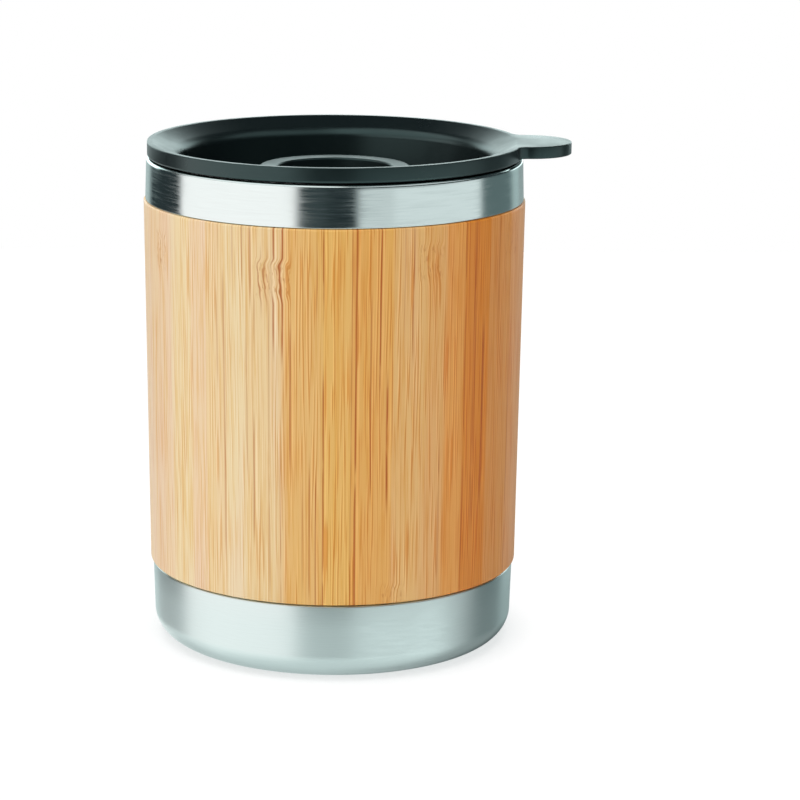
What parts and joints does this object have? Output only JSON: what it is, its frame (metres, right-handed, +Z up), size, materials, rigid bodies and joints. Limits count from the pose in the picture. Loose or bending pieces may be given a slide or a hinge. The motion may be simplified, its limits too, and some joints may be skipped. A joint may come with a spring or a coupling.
{
  "type": "stainless steel tumbler",
  "caption": "Double-wall steel drinking tumbler with a tapered bamboo sleeve, a rounded steel base and a black press-in lid with a thumb tab and a turning sip closure.",
  "frame": {"origin": "middle of the base's flat underside, on the cup's axis", "axes": "+Z up along the cup's axis, +X towards the lid's thumb tab, +Y away from the viewer of the picture"},
  "size_m": [0.0895, 0.08, 0.1062],
  "materials": {
    "polished_steel": "polished, with fine turned brush lines",
    "drawn_steel": "drawn, electropolished",
    "satin_steel": "satin",
    "bamboo": "sanded bamboo under a clear satin lacquer, grain upright",
    "lid_plastic": "satin moulded polypropylene",
    "seal_silicone": "matt silicone"
  },
  "bodies": {
    "cup": {"outer_shell": "polished_steel", "bottom_plate": "drawn_steel", "inner_liner": "drawn_steel", "base_cap": "satin_steel", "bamboo_sleeve": "bamboo"},
    "lid": {"lid_body": "lid_plastic", "lid_seal": "seal_silicone"},
    "closure": {"closure_disc": "lid_plastic"}
  },
  "joints": [
    {"name": "lid_lift", "type": "slide", "parent": "cup", "child": "lid", "axis": [0, 0, 1], "range_m": [0, 0.04]},
    {"name": "closure_turn", "type": "hinge", "parent": "lid", "child": "closure", "pos_m": [0, 0, 0.095], "axis": [0, 0, 1], "range_deg": [0, 90]}
  ]
}
